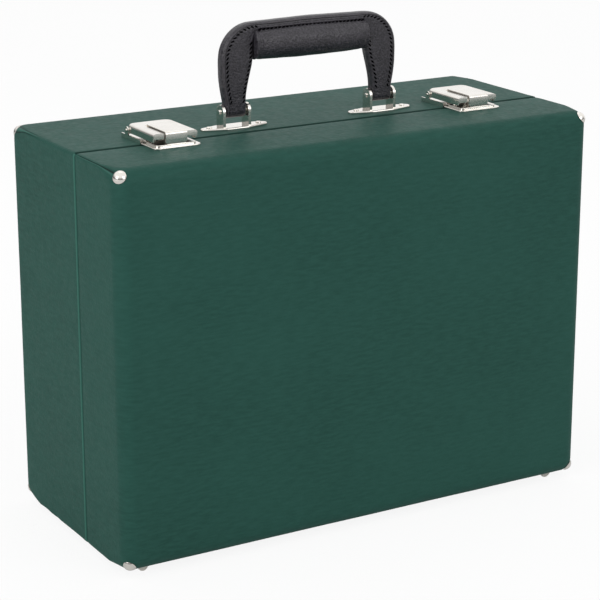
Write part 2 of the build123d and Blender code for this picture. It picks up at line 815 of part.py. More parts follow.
def make_accessory_box():
    """The lidded box above the cradle, at the left, and the block for mouthpieces beside it."""
    left = -case_width / 2 + inner_inset
    right = case_width / 2 - inner_inset
    low = cradle_top
    high = top - inner_inset
    face = rear_rim + box_setback
    end = left + box_length
    inner_low, inner_high = low + box_wall, high - box_wall
    lid_face = face
    lid_under = face + box_lid_wall
    axis_y = face + box_lid_wall / 2
    axis_z = inner_low + box_lid_edge_clearance + box_lid_wall / 2

    with BuildPart() as tray:
        block((left, face, low), (end, rear_floor, high))
        inside_end = (end - box_wall, rear_floor - box_wall, inner_high)
        block((left + box_wall, face, inner_low), inside_end, Mode.SUBTRACT)
        ledge_y = lid_under + box_lid_clearance
        block(
            (left + box_wall, ledge_y, inner_high - box_ledge),
            (end - box_wall, ledge_y + box_ledge, inner_high),
        )
        with Locations(Location(((left + end) / 2, axis_y, axis_z), (0, 90, 0))):
            hole_length = box_length - 2 * box_wall + 2 * (box_pin_length - box_pin_depth)
            hole = box_pin_diameter / 2 + running_clearance
            Cylinder(hole, hole_length, mode=Mode.SUBTRACT)
    save(tray.part, "accessory_box")

    gap = box_lid_edge_clearance
    lid_left = left + box_wall + gap
    lid_right = end - box_wall - gap
    with BuildPart() as lid:
        block((lid_left, lid_face, axis_z), (lid_right, lid_under, inner_high - gap))
        with Locations(Location(((lid_left + lid_right) / 2, axis_y, axis_z), (0, 90, 0))):
            Cylinder(box_lid_wall / 2, lid_right - lid_left)
        for x, turn in ((lid_left, 1), (lid_right, -1)):
            with Locations(Location((x + turn * box_pin_depth / 2, axis_y, axis_z), (0, 90, 0))):
                Cylinder(box_pin_diameter / 2, box_pin_depth, mode=Mode.SUBTRACT)
    save(lid.part, "accessory_lid")

    with BuildPart() as pins:
        for x, turn in ((lid_left, 1), (lid_right, -1)):
            centre = x + turn * (box_pin_depth - box_pin_length / 2)
            with Locations(Location((centre, axis_y, axis_z), (0, 90, 0))):
                Cylinder(box_pin_diameter / 2, box_pin_length)
    save(pins.part, "accessory_lid_pins")

    centre = (lid_left + lid_right) / 2
    tab_top = inner_high - gap
    with BuildPart() as tab:
        block(
            (centre - tab_width / 2, lid_face - tab_wall, tab_top - tab_length),
            (centre + tab_width / 2, lid_face, tab_top),
        )
        fillet(tab.edges().filter_by(Axis.Y).sort_by(Axis.Z)[:2], tab_corner)
    save(tab.part, "accessory_lid_tab")

    with BuildPart() as rest:
        block((end, face, low), (right, rear_floor, high))
        middle_x = (end + right) / 2
        middle_z = (low + high) / 2
        for side in (-1, 1):
            place = Location((middle_x + side * mouthpiece_spacing / 2, face, middle_z), (90, 0, 0))
            with Locations(place):
                Cylinder(mouthpiece_rim / 2, 2 * mouthpiece_rim_depth, mode=Mode.SUBTRACT)
                Cylinder(mouthpiece_shank / 2, 2 * mouthpiece_shank_depth, mode=Mode.SUBTRACT)
    save(rest.part, "mouthpiece_block")


def make_lid_pad():
    """The pad inside the lid, over the horn."""
    inset = inner_inset + lid_pad_margin
    with BuildPart() as pad:
        case_block(inset, lid_floor, lid_floor + lid_pad_wall)
        fillet(pad.faces().sort_by(Axis.Y)[-1].edges(), lid_pad_edge)
    save(pad.part, "lid_pad")


make_half("rear", rear_rim, back)
make_half("lid", lid_rim, front)
make_lining("rear_lining", rear_rim + lip_root, rear_floor)
make_lining("lid_lining", rear_rim - lip_reach - lining_relief, lid_floor)
make_rim_lip()
make_studs_and_feet("rear", back)
make_studs_and_feet("lid", front)
make_hinges()
make_latches()
make_brackets()
make_handle()
make_cradle()
make_accessory_box()
make_lid_pad()
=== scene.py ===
"""The looks of the horn case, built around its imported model.

The shell's covering, the lining, the padding and the leather handle are modelled here in place of
the plain CAD solids. The wooden and metal nodes stay as they are and get their finish. Sizes are
in millimetres up to the last step of each mesh, which turns them into Blender's metres.
"""

import json
import math

import bmesh
import bpy
import numpy as np
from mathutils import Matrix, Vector, noise


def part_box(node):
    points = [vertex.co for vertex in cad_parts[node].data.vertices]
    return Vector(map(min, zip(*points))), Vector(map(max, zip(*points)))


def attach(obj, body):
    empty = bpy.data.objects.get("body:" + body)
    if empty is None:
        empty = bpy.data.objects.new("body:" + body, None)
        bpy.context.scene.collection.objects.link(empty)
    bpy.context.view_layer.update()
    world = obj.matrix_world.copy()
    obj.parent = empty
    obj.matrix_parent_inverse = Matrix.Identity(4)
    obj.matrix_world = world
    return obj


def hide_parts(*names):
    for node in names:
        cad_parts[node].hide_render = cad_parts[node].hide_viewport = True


MM = 0.001

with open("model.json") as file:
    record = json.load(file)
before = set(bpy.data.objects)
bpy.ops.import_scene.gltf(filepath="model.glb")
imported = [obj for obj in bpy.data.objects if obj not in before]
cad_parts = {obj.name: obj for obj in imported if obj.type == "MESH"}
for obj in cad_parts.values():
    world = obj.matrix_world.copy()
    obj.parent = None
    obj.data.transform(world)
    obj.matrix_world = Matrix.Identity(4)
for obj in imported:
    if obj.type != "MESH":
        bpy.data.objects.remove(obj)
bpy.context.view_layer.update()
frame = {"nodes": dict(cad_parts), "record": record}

# Case, as in the model
half_width = 190.0
half_height = 140.0
top = 284.5
middle = 144.5
front = -87.0
back = 87.0
rear_rim = -22.8
lid_rim = -23.2
panel_radius = 10.5
corner_radius = 3.0
panel_corner_radius = 12.0
corner_taper = 26.0
wall = 6.0

# Covering
covering_shown = 0.5
covering_sink = 0.16
broad_wave, broad_pitch = 0.10, 55.0
fine_wave, fine_pitch = 0.05, 13.0
corner_waves, corner_wave_pitch = 1.1, 11.0
rim_round = 1.6
rim_bead = 3.0
rim_sink = 0.25
# The seam's painted highlight on the rear's rim edge at the two ends, and its painted shade
# elsewhere
seam_highlight = 0.75
seam_shade = 0.6
sharpest_corner = 0.4
ring_side_steps = {"x": 64, "z": 48}
corner_steps = 10
wall_step = 6.0
panel_step = 6.5

# (depth, painted shade, painted highlight) at steps from the middle of a corner: the lid's slit and
# the rear's fold
lid_corner_marks = {0: (0.60, 1.0, 0.0), 1: (-0.12, 0.0, 0.5), -1: (0.05, 0.2, 0.0)}
rear_corner_marks = {-2: (0.35, 0.6, 0.0), -1: (0.0, 0.0, 0.2), 0: (-0.12, 0.0, 0.6),
                     1: (0.0, 0.0, 0.2), 2: (0.40, 0.8, 0.0)}
rear_fold_reach = 52.0

# Lining
lining_gap = 0.1
lining_round = 4.0
lining_corner = 0.5
lining_thickness = 0.8
lining_wave_pitch = 30.0
lining_wall_step = 8.0
lining_floor_step = 9.0

# Handle, with heights above the case
handle_y = -6.0
handle_axis = 12.0
strap_half = 4.7
grip_half = 46.0
grip_height = 57.4
grip_radius = 12.0
grip_end_radius = 11.0
grip_inside = 0.18
grip_wave, grip_wave_pitch = 0.20, 7.0
grip_pucker, grip_puckers = 0.16, 14

# Stitches: their rows, measured in from the edges and out from the middle, and their size
stitch_pitch = 3.1
outer_stitch = 4.05
inner_stitch = 2.65
leg_row_lift = 4.36
leg_row_start = 17.0
shoulder_row_end = 44.0
ridge_row_lift = 4.9
ridge_row_height = 67.9
ridge_row_half = 43.0
stitch_length, stitch_width, stitch_height = 3.1, 1.25, 0.75
leg_slant, ridge_slant = math.radians(38), math.radians(24)

# Padding: node, body, slot, voxel, rounds of smoothing and how far the skin stands out
softened = [
    ("horn_cradle", "rear_case", "plush_padding", 2.6, 6, -0.4),
    ("mouthpiece_block", "rear_case", "plush_board", 1.8, 3, -0.3),
    ("accessory_box", "rear_case", "plush_board", 1.4, 3, -0.2),
    ("accessory_lid", "accessory_flap", "plush_board", 0.9, 3, -0.1),
    ("accessory_lid_tab", "accessory_flap", "plush", 0.35, 3, 0.0),
]
soft_wave, soft_wave_pitch = 0.25, 24.0

# Lid pad, with (depth, radius) of the broad and the tight part of each tuft
pad_side_room = 3.0
pad_back_room = 0.6
pad_front_room = 5.5
pad_voxel = 5.5
pad_pressure = 4.0
pad_frames = 20
pad_puff_limit = 5.0
broad_tuft, tight_tuft = (4.5, 30.0), (4.5, 10.0)
tuft_shade_radius = 11.0
button_pitch = 92.0
button_row_pitch = 78
button_sink = 1.6
button_profile = [(0.0, 1.9), (2.4, 1.7), (4.6, 0.9), (5.6, -0.4), (5.4, -1.8), (0.0, -2.0)]
button_sides = 20

# Surroundings, where 1 is white: on matt surfaces, in reflections of the room's dark side, and
# added to the floor; then how clear the floor is to the camera, and its share in reflections
room_level = 0.46
room_dark = 0.12
floor_glow = 0.48
floor_clear = 0.78
floor_mirrored = 0.30

# Lamps as (place, size, power), all pointed at the case, and the photograph's camera
lamp_aim = (0, 0, 0.14)
lamps = {
    "key": ((-2.7, -0.5, 1.3), 1.5, 19.0),
    "fill": ((1.2, -2.8, 1.4), 1.8, 16.0),
    "above": ((0.5, 1.0, 2.4), 1.6, 2.0),
}
camera_azimuth, camera_elevation = math.radians(-30.402), math.radians(16.835)
camera_place = (-0.73625, -1.24965, 0.5867)
camera_lens = 123.88


# Meshes

def smooth_mesh(name, points, faces, marks=None, weld=0.002):
    """A mesh in metres from millimetre points, welded, with its faces turned outwards.

    marks holds lists of one value per point, which the materials read by their names.
    """
    mesh = bpy.data.meshes.new(name)
    mesh.from_pydata([Vector(p) * MM for p in points], [], faces)
    for mark, values in (marks or {}).items():
        mesh.attributes.new(mark, "FLOAT", "POINT").data.foreach_set("value", values)
    work = bmesh.new()
    work.from_mesh(mesh)
    bmesh.ops.remove_doubles(work, verts=work.verts, dist=weld * MM)
    bmesh.ops.dissolve_degenerate(work, edges=work.edges, dist=0.001 * MM)
    bmesh.ops.recalc_face_normals(work, faces=work.faces)
    work.to_mesh(mesh)
    work.free()
    mesh.shade_smooth()
    return mesh


def skin(name, rings, caps=True, marks=None, weld=0.002):
    """A mesh through closed rings that all have the same number of points."""
    count = len(rings[0])
    points = [p for ring in rings for p in ring]
    faces = [
        (r * count + i, r * count + (i + 1) % count,
         (r + 1) * count + (i + 1) % count, (r + 1) * count + i)
        for r in range(len(rings) - 1)
        for i in range(count)
    ]
    if caps:
        last = (len(rings) - 1) * count
        faces += [tuple(range(count))[::-1], tuple(range(last, last + count))]
    return smooth_mesh(name, points, faces, marks, weld)


def add_piece(mesh, body, finish, replaced=()):
    """Put a mesh in the scene as a piece of the object that rides on a body."""
    piece = bpy.data.objects.new(mesh.name, mesh)
    bpy.context.scene.collection.objects.link(piece)
    mesh.materials.clear()
    mesh.materials.append(finish)
    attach(piece, body)
    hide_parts(*replaced)
    return piece


def ripple(point, pitch, seed=0.0):
    """Smooth noise from -1 to 1 at a millimetre point, with bumps about a pitch apart."""
    return noise.noise(Vector(point) / pitch + Vector((seed, seed, seed)))


def final_mesh(piece, name):
    """The mesh of a piece with its modifiers applied."""
    graph = bpy.context.evaluated_depsgraph_get()
    mesh = bpy.data.meshes.new_from_object(piece.evaluated_get(graph))
    mesh.name = name
    return mesh


# Materials

class Nodes:
    """Adds shader nodes to a material or the world, and links what it is given."""

    def __init__(self, owner):
        owner.use_nodes = True
        self.tree = owner.node_tree
        self.tree.nodes.clear()

    def add(self, kind, inputs=(), **settings):
        node = self.tree.nodes.new("ShaderNode" + kind)
        for name, value in settings.items():
            setattr(node, name, value)
        for name, value in dict(inputs).items():
            if isinstance(value, bpy.types.NodeSocket):
                self.tree.links.new(value, node.inputs[name])
            else:
                node.inputs[name].default_value = value
        return node

    def place(self, scale=(1, 1, 1)):
        """Object coordinates in metres, stretched."""
        coordinates = self.add("TexCoord").outputs["Object"]
        return self.add("Mapping", {"Vector": coordinates, "Scale": scale}).outputs[0]

    def noise(self, scale, detail=3.0, stretch=(1, 1, 1), roughness=0.55, distortion=0.0):
        return self.add("TexNoise", {
            "Vector": self.place(stretch), "Scale": scale, "Detail": detail,
            "Roughness": roughness, "Distortion": distortion,
        }).outputs[0]

    def cells(self, scale, stretch=(1, 1, 1)):
        return self.add("TexVoronoi", {"Vector": self.place(stretch), "Scale": scale}).outputs[0]

    def ramp(self, factor, *stops):
        """Colours (or grey levels) along a factor, given as (position, value) pairs."""
        node = self.add("ValToRGB", {"Fac": factor})
        elements = node.color_ramp.elements
        while len(elements) < len(stops):
            elements.new(0.5)
        for element, (position, value) in zip(elements, stops):
            element.position = position
            element.color = (value,) * 3 + (1,) if isinstance(value, float) else (*value, 1)
        return node.outputs["Color"]

    def math(self, operation, a, b=0.0):
        return self.add("Math", {0: a, 1: b}, operation=operation).outputs[0]

    def tint(self, factor, a, b):
        """Mix two colours."""
        node = self.add("Mix", {0: factor}, data_type="RGBA")
        for socket, value in ((node.inputs[6], a), (node.inputs[7], b)):
            if isinstance(value, bpy.types.NodeSocket):
                self.tree.links.new(value, socket)
            else:
                socket.default_value = (*value, 1)
        return node.outputs[2]

    def bump(self, *layers):
        """A normal from (height, distance in mm, strength) layers, the broadest first."""
        normal = None
        for height, distance, strength in layers:
            inputs = {"Height": height, "Distance": distance * MM, "Strength": strength}
            if normal:
                inputs["Normal"] = normal
            normal = self.add("Bump", inputs).outputs[0]
        return normal


def make_material(name, paint):
    """A principled material; paint takes its nodes and returns the shader's inputs."""
    made = bpy.data.materials.new(name)
    nodes = Nodes(made)
    shader = nodes.add("BsdfPrincipled", paint(nodes))
    nodes.add("OutputMaterial", {"Surface": shader.outputs[0]})
    return made


def paint_leatherette(n):
    """Green grained leatherette, a little mottled, with painted shade in its corner slits and seam
    and a painted highlight on the rear's rim edge and corner ridges.
    """
    mottle = n.noise(9.0, 4.0, (1, 1, 1.4))
    colour = n.ramp(mottle, (0.30, (0.0240, 0.090, 0.0710)), (0.70, (0.0295, 0.110, 0.0870)))
    streak = n.noise(520.0, 3.0, (0.20, 0.20, 1))
    colour = n.tint(n.ramp(streak, (0.36, 0.0), (0.66, 0.60)), colour, (0.037, 0.128, 0.103))
    # Painted shade: near-black along the corner slits and the seam
    painted_shade = n.add("Attribute", attribute_name="painted_shade").outputs["Fac"]
    colour = n.tint(painted_shade, colour, (0.002, 0.010, 0.008))
    # Painted highlight: lighter green on the rear's rim edge at the ends and on the corner ridges
    lightened = n.add("Attribute", attribute_name="lightened").outputs["Fac"]
    colour = n.tint(lightened, colour, (0.085, 0.260, 0.205))
    grain = n.cells(760.0, (0.62, 0.62, 1))
    return {
        "Base Color": colour,
        "Roughness": n.ramp(n.noise(240.0, 3.0), (0.3, 0.46), (0.7, 0.58)),
        "Specular IOR Level": 0.10,
        "Normal": n.bump(
            (n.noise(26.0, 3.0, (0.6, 0.6, 1.6)), 0.6, 0.12),
            (streak, 0.40, 0.40),
            (grain, 0.30, 0.45),
        ),
    }


def paint_handle_leather(n):
    """Near-black grained leather, mottled, with painted shade in the grooves beside its rolled
    edges and lighter purple-grey on their crowns.
    """
    bloom = n.noise(70.0, 4.0)
    grain = n.cells(700.0)
    colour = n.ramp(bloom, (0.3, (0.017, 0.0155, 0.020)), (0.75, (0.036, 0.033, 0.041)))
    colour = n.tint(n.ramp(grain, (0.30, 0.0), (0.80, 0.6)), colour, (0.085, 0.078, 0.096))
    # Painted shade in the groove beside each rolled edge
    groove = n.add("Attribute", attribute_name="painted_shade").outputs["Fac"]
    colour = n.tint(groove, colour, (0.002, 0.002, 0.003))
    # Lighter purple-grey on the crowns of the rolled edges
    lightened = n.add("Attribute", attribute_name="lightened").outputs["Fac"]
    colour = n.tint(lightened, colour, (0.110, 0.100, 0.112))
    return {
        "Base Color": colour,
        "Roughness": n.ramp(n.noise(300.0, 2.0), (0.3, 0.27), (0.7, 0.42)),
        "IOR": 1.5,
        "Normal": n.bump((n.noise(130.0, 4.0), 1.0, 0.45), (grain, 0.45, 0.6)),
    }


def paint_thread(n):
    """Waxed black thread."""
    twist = n.noise(2600.0, 1.0, (1, 1, 0.3))
    return {
        "Base Color": n.ramp(twist, (0.3, (0.0006, 0.0006, 0.0008)), (0.7, (0.002, 0.002, 0.0025))),
        "Roughness": 0.9,
        "Specular IOR Level": 0.0,
        "Normal": n.bump((twist, 0.1, 0.5)),
    }


def paint_nickel(n):
    """Warm nickel plate with hairline scratches and faint clouding."""
    cloud = n.noise(60.0, 4.0)
    hairline = n.noise(900.0, 2.0, (0.04, 1, 1), distortion=0.4)
    return {
        "Base Color": n.ramp(cloud, (0.3, (0.80, 0.765, 0.71)), (0.7, (0.90, 0.87, 0.82))),
        "Metallic": 1.0,
        "Roughness": n.ramp(hairline, (0.35, 0.12), (0.75, 0.24)),
        "Normal": n.bump((n.noise(90.0, 2.0), 0.08, 0.10), (hairline, 0.01, 0.20)),
    }


def paint_steel(n):
    """Plain brushed steel."""
    brushed = n.noise(1400.0, 2.0, (1, 0.03, 1))
    return {
        "Base Color": n.ramp(n.noise(80.0), (0.3, (0.44, 0.43, 0.41)), (0.7, (0.56, 0.55, 0.53))),
        "Metallic": 1.0,
        "Roughness": n.ramp(brushed, (0.3, 0.28), (0.7, 0.42)),
        "Normal": n.bump((brushed, 0.02, 0.4)),
    }


def paint_plywood(n):
    """Pale plywood: long grain, with the plies as darker lines."""
    grain = n.noise(240.0, 5.0, (0.06, 1, 0.25), distortion=0.8)
    plies = n.add("TexWave", {
        "Vector": n.place(), "Scale": 360.0, "Distortion": 0.6,
    }, wave_type="BANDS", bands_direction="Y").outputs[1]
    colour = n.ramp(grain, (0.3, (0.50, 0.34, 0.19)), (0.7, (0.70, 0.53, 0.34)))
    return {
        "Base Color": n.tint(n.ramp(plies, (0.0, 0.0), (1.0, 0.16)), colour, (0.30, 0.18, 0.09)),
        "Roughness": n.ramp(grain, (0.3, 0.5), (0.7, 0.7)),
        "Normal": n.bump((grain, 0.2, 0.4)),
    }


def paint_plush(n):
    """Short gold plush, with the nap laid in soft patches, and painted shade down in the tufts."""
    nap = n.noise(38.0, 4.0, distortion=0.6)
    pile = n.noise(1900.0, 2.0)
    colour = n.ramp(nap, (0.30, (0.31, 0.205, 0.072)), (0.70, (0.45, 0.310, 0.118)))
    colour = n.tint(n.ramp(pile, (0.35, 0.0), (0.7, 0.3)), colour, (0.55, 0.40, 0.18))
    # Painted shade in the hollows of the lid pad's tufts
    tuft_shade = n.add("Attribute", attribute_name="painted_shade").outputs["Fac"]
    return {
        "Base Color": n.tint(n.math("MULTIPLY", tuft_shade, 0.75), colour, (0.09, 0.055, 0.018)),
        "Roughness": n.ramp(pile, (0.3, 0.8), (0.7, 0.95)),
        "Sheen Weight": 0.5,
        "Sheen Roughness": 0.4,
        "Normal": n.bump((nap, 1.0, 0.2), (pile, 0.35, 0.7)),
    }


leatherette = make_material("leatherette", paint_leatherette)
handle_leather = make_material("handle_leather", paint_handle_leather)
thread = make_material("thread", paint_thread)
nickel = make_material("nickel", paint_nickel)
steel = make_material("plain_steel", paint_steel)
plywood = make_material("plywood", paint_plywood)
plush = make_material("plush", paint_plush)


# Shell covering and lining

def case_ring(y, inset, radius):
    """A rounded rectangle round the case at one depth, always with the same number of points."""
    a, b = half_width - inset, half_height - inset
    radius = min(max(radius, sharpest_corner), max(min(a, b), 0.0))
    points = []
    corners = [(1, 1, "x"), (-1, 1, "z"), (-1, -1, "x"), (1, -1, "z")]
    for k, (sx, sz, side) in enumerate(corners):
        cx, cz = sx * (a - radius), sz * (b - radius)
        for i in range(corner_steps + 1):
            angle = math.pi / 2 * (k + i / corner_steps)
            points.append((cx + radius * math.cos(angle), y,
                           middle + cz + radius * math.sin(angle)))
        nx, nz = corners[(k + 1) % 4][:2]
        start = Vector(points[-1])
        angle = math.pi / 2 * (k + 1)
        end = Vector((nx * (a - radius) + radius * math.cos(angle), y,
                      middle + nz * (b - radius) + radius * math.sin(angle)))
        steps = ring_side_steps[side]
        points += [tuple(start.lerp(end, i / steps)) for i in range(1, steps)]
    return points


def spread(start, end, step):
    """Evenly spaced numbers from start to end, about a step apart."""
    count = max(1, round(abs(end - start) / step))
    return [start + (end - start) * i / count for i in range(count + 1)]


def shell_stations(rim, face):
    """(depth y, inset, corner radius) from the turned-in rim to the middle of the panel."""
    side = 1 if face > rim else -1
    span = abs(face - rim)

    def corner(t, inset):
        opened = panel_corner_radius - (panel_corner_radius - corner_radius) * t / corner_taper
        return max(corner_radius, opened) - inset

    stations = [(rim, inset, corner_radius - inset) for inset in (wall, 3.4, 1.6)]
    for i in range(7):
        angle = math.pi / 2 * i / 6
        inset = rim_round * (1 - math.sin(angle))
        stations.append((rim + side * rim_round * (1 - math.cos(angle)), inset,
                         corner_radius - inset))
    for t in spread(span - rim_round, panel_radius, wall_step)[1:]:
        stations.append((face - side * t, 0.0, corner(t, 0.0)))
    for i in range(1, 11):
        angle = math.pi / 2 * i / 10
        t = panel_radius * (1 - math.sin(angle))
        inset = panel_radius * (1 - math.cos(angle))
        stations.append((face - side * t, inset, corner(t, inset)))
    for inset in spread(panel_radius, half_height, panel_step)[1:]:
        stations.append((face, inset, panel_corner_radius - inset))
    return stations


def ramped(value, start, end):
    """0 before start, 1 after end and even in between."""
    return min(1.0, max(0.0, (value - start) / (end - start)))


def corner_mark(is_lid, t, from_rim, step, is_worn_corner):
    """(depth in mm, painted shade, painted highlight) across a corner, a number of steps from its
    middle.

    The lid's covering is slit from rim to nail. The rear's is folded over near the panel only.
    """
    if is_lid:
        reach = ramped(from_rim, 0.6, 2.6) * ramped(t, 6.0, 10.0)
        marks = lid_corner_marks
    else:
        reach = ramped(rear_fold_reach - t, 0.0, 16.0) * ramped(t, 5.0, 9.0)
        marks = rear_corner_marks
    depth, painted_shade, lightening = (reach * m for m in marks.get(step, (0.0, 0.0, 0.0)))
    if is_worn_corner:
        wave = ripple((t + 40.0 * is_lid, 0.0, 0.0), corner_wave_pitch)
        depth += corner_waves * max(0.0, wave)
    return depth, painted_shade, lightening


def make_covering(name, body, rim, face, node):
    """The leatherette over one half, turned in at the rim, with its corners folded over.

    The seam has painted shade, except that the rear's rim edge has a painted highlight on the two
    ends of the case.
    """
    is_lid = face < rim
    side = -1 if is_lid else 1
    rings, painted_shades, lightenings = [], [], []
    for y, inset, radius in shell_stations(rim, face):
        t, from_rim = abs(face - y), abs(y - rim)
        near_rim = 1.0 - ramped(from_rim, rim_round, rim_round + rim_bead)
        ring, painted_shade, lightening = case_ring(y, inset, radius), [], []
        start = 0
        for k, steps in enumerate(("x", "z", "x", "z")):
            for i in range(corner_steps + 1):
                step = (i if k in (1, 3) else corner_steps - i) - corner_steps // 2
                depth, dark, light = (0.0, 0.0, 0.0)
                if inset < 1.0:
                    # Corner slits get painted shade, and the ridges beside them a painted highlight
                    depth, dark, light = corner_mark(is_lid, t, from_rim, step, k == 2)
                angle = math.pi / 2 * (k + i / corner_steps)
                x, _, z = ring[start + i]
                ring[start + i] = (x - depth * math.cos(angle), y, z - depth * math.sin(angle))
                painted_shade.append(dark)
                lightening.append(light)
            straight = ring_side_steps[steps] - 1
            painted_shade += [0.0] * straight
            lightening += [0.0] * straight
            start += corner_steps + 1 + straight
        # Painted shade along the seam, and a painted highlight on the rear's rim edge at the two
        # ends
        if inset < 0.8 * rim_round and from_rim <= rim_round:
            for i, (x, _, z) in enumerate(ring):
                on_end = abs(x) / half_width > abs(z - middle) / half_height
                if on_end and not is_lid:
                    lightening[i] = max(lightening[i], seam_highlight * (1 - inset / rim_round))
                else:
                    painted_shade[i] = max(painted_shade[i], seam_shade)
        moved = []
        for x, _, z in ring:
            sink = (covering_sink + broad_wave * ripple((x, y, z), broad_pitch)
                    + fine_wave * ripple((x, y, z), fine_pitch, 4.0))
            sink += near_rim * (rim_sink if is_lid else -sink)
            if inset >= panel_radius:
                moved.append((x, y - side * sink, z))
            elif y == rim:
                moved.append((x, y, z))
            elif abs(x) / half_width > abs(z - middle) / half_height:
                moved.append((x - math.copysign(sink, x), y, z))
            else:
                moved.append((x, y, z - math.copysign(sink, z - middle)))
        rings.append(moved)
        painted_shades += painted_shade
        lightenings += lightening
    mesh = skin(name, rings, caps=False, marks={"painted_shade": painted_shades, "lightened": lightenings}, weld=0.02)
    piece = add_piece(mesh, body, leatherette, [node])
    solid = piece.modifiers.new("thickness", "SOLIDIFY")
    solid.thickness = covering_shown * MM
    solid.offset = -1.0
    return piece


def make_lining(name, body, rim, floor, node):
    """The plush glued inside one half: a tray with soft inner corners."""
    side = 1 if floor > rim else -1
    stations = [(y, wall + lining_gap)
                for y in spread(rim, floor - side * lining_round, lining_wall_step)]
    for i in range(1, 6):
        angle = math.pi / 2 * i / 5
        stations.append((floor - side * lining_round * (1 - math.sin(angle)),
                         wall + lining_gap + lining_round * (1 - math.cos(angle))))
    for inset in spread(wall + lining_round, half_height, lining_floor_step)[1:]:
        stations.append((floor, inset))
    rings = []
    for y, inset in stations:
        rings.append([
            (x, y - side * lining_gap * (1 + ripple((x, y, z), lining_wave_pitch)), z)
            for x, y, z in case_ring(y, inset, lining_corner)
        ])
    piece = add_piece(skin(name, rings, caps=False), body, plush, [node])
    solid = piece.modifiers.new("thickness", "SOLIDIFY")
    solid.thickness = lining_thickness * MM
    solid.offset = 1.0
    return piece


# Handle

def handle_stations():
    """(outer point, inner point) pairs up the right leg, round the shoulder and to the middle."""
    pairs = [((68.2, z), (51.8, z)) for z in (7.32, 7.5, 8.2, 9.4, 11.0, 13.0, 15.5, 17.8)]
    pairs += [((68.7, 21.0), (51.7, 20.6)), ((69.5, 25.0), (51.3, 24.2)),
              ((70.3, 30.0), (50.5, 28.6)), ((70.9, 35.5), (49.4, 33.4)),
              ((71.05, 41.0), (48.0, 38.8)), ((71.05, 47.6), (46.6, 44.4))]
    shoulder = [(15, (46.1, 49.6)), (30, (46.0, 54.0)), (45, (45.9, 58.0)),
                (60, (45.4, 61.8)), (75, (43.8, 64.8)), (90, (40.5, 65.9))]
    for degrees, inner in shoulder:
        angle = math.radians(degrees)
        pairs.append(((46.05 + 25 * math.cos(angle), 48.1 + 25 * math.sin(angle)), inner))
    pairs += [((x, 73.1 + 0.9 * (1 - x / 46)), (x - 3 if x > 5 else x, 66.0))
              for x in (36, 26, 17, 8, 0)]
    return pairs


def subdivided(pairs, steps):
    """A smooth run of pairs through the given ones."""
    data = np.array(pairs, float).reshape(len(pairs), 4)
    made = []
    for k in range(len(data) - 1):
        p0, p1, p2, p3 = data[max(k - 1, 0)], data[k], data[k + 1], data[min(k + 2, len(data) - 1)]
        for i in range(steps):
            t = i / steps
            made.append(0.5 * (2 * p1 + (p2 - p0) * t + (2 * p0 - 5 * p1 + 4 * p2 - p3) * t**2
                               + (3 * p1 - p0 - 3 * p2 + p3) * t**3))
    made.append(data[-1])
    return made


def strap_profile(width):
    """(distance in from the outer edge, half thickness, painted shade, lighter colour) over half of
    the section.

    A rolled edge comes first, then a groove beside it, and a stitch channel near each edge. The
    groove gets painted shade, and the crowns of the rolled edges are lighter.
    """
    return [
        (0.0, 0.9, 0.0, 0.1), (0.05, 2.0, 0.0, 0.0), (0.35, 3.1, 0.0, 0.0), (0.95, 3.95, 0.0, 0.1),
        (1.55, 4.42, 0.0, 0.7), (2.0, 4.46, 0.0, 0.5), (2.4, 3.95, 0.7, 0.0), (2.9, 4.25, 0.0, 0.0),
        (3.6, 4.50, 0.0, 0.0), (outer_stitch, 4.20, 0.0, 0.0), (4.5, 4.50, 0.0, 0.0),
        (max(width * 0.5, 4.75), 4.66, 0.0, 0.0), (width - 3.1, 4.50, 0.0, 0.0),
        (width - inner_stitch, 4.20, 0.0, 0.0), (width - 2.2, 4.42, 0.0, 0.0),
        (width - 1.3, 4.1, 0.0, 0.0), (width - 0.7, 3.6, 0.0, 0.45), (width - 0.2, 2.8, 0.0, 0.0),
        (width, 1.5, 0.0, 0.0),
    ]


def make_handle_strap():
    """Two legs and the ridge of the handle, as one crowned and edged leather body."""
    right = subdivided(handle_stations(), 4)
    pairs = right + [(-p[0], p[1], -p[2], p[3]) for p in right[-2::-1]]
    rings, painted_shades, lightenings = [], [], []
    for ox, oz, ix, iz in pairs:
        outer, inner = Vector((ox, 0, oz)), Vector((ix, 0, iz))
        width = (inner - outer).length
        inward = (inner - outer).normalized()
        below = max(0.0, handle_axis - (oz + iz) / 2)
        share = max(0.05, math.sqrt(max(0.0, 1 - (below / strap_half) ** 2)))
        half = strap_profile(width)
        ring = []
        for u, v, painted_shade, lightening in half + [(u, -v, *marks) for u, v, *marks in reversed(half)]:
            p = outer + inward * u
            lift = 1 + 0.012 * ripple((p.x, v, p.z), 6.0)
            ring.append((p.x, handle_y + v * share * lift, top + p.z))
            painted_shades.append(painted_shade)
            lightenings.append(lightening * (0.7 + 0.5 * ripple((p.x, v, p.z), 9.0, 3.0)))
        rings.append(ring)
    mesh = skin("handle_strap_leather", rings, marks={"painted_shade": painted_shades, "lightened": lightenings})
    strap = add_piece(mesh, "handle", handle_leather, ["handle_strap"])
    fine = strap.modifiers.new("fine", "SUBSURF")
    fine.levels = fine.render_levels = 1
    return strap


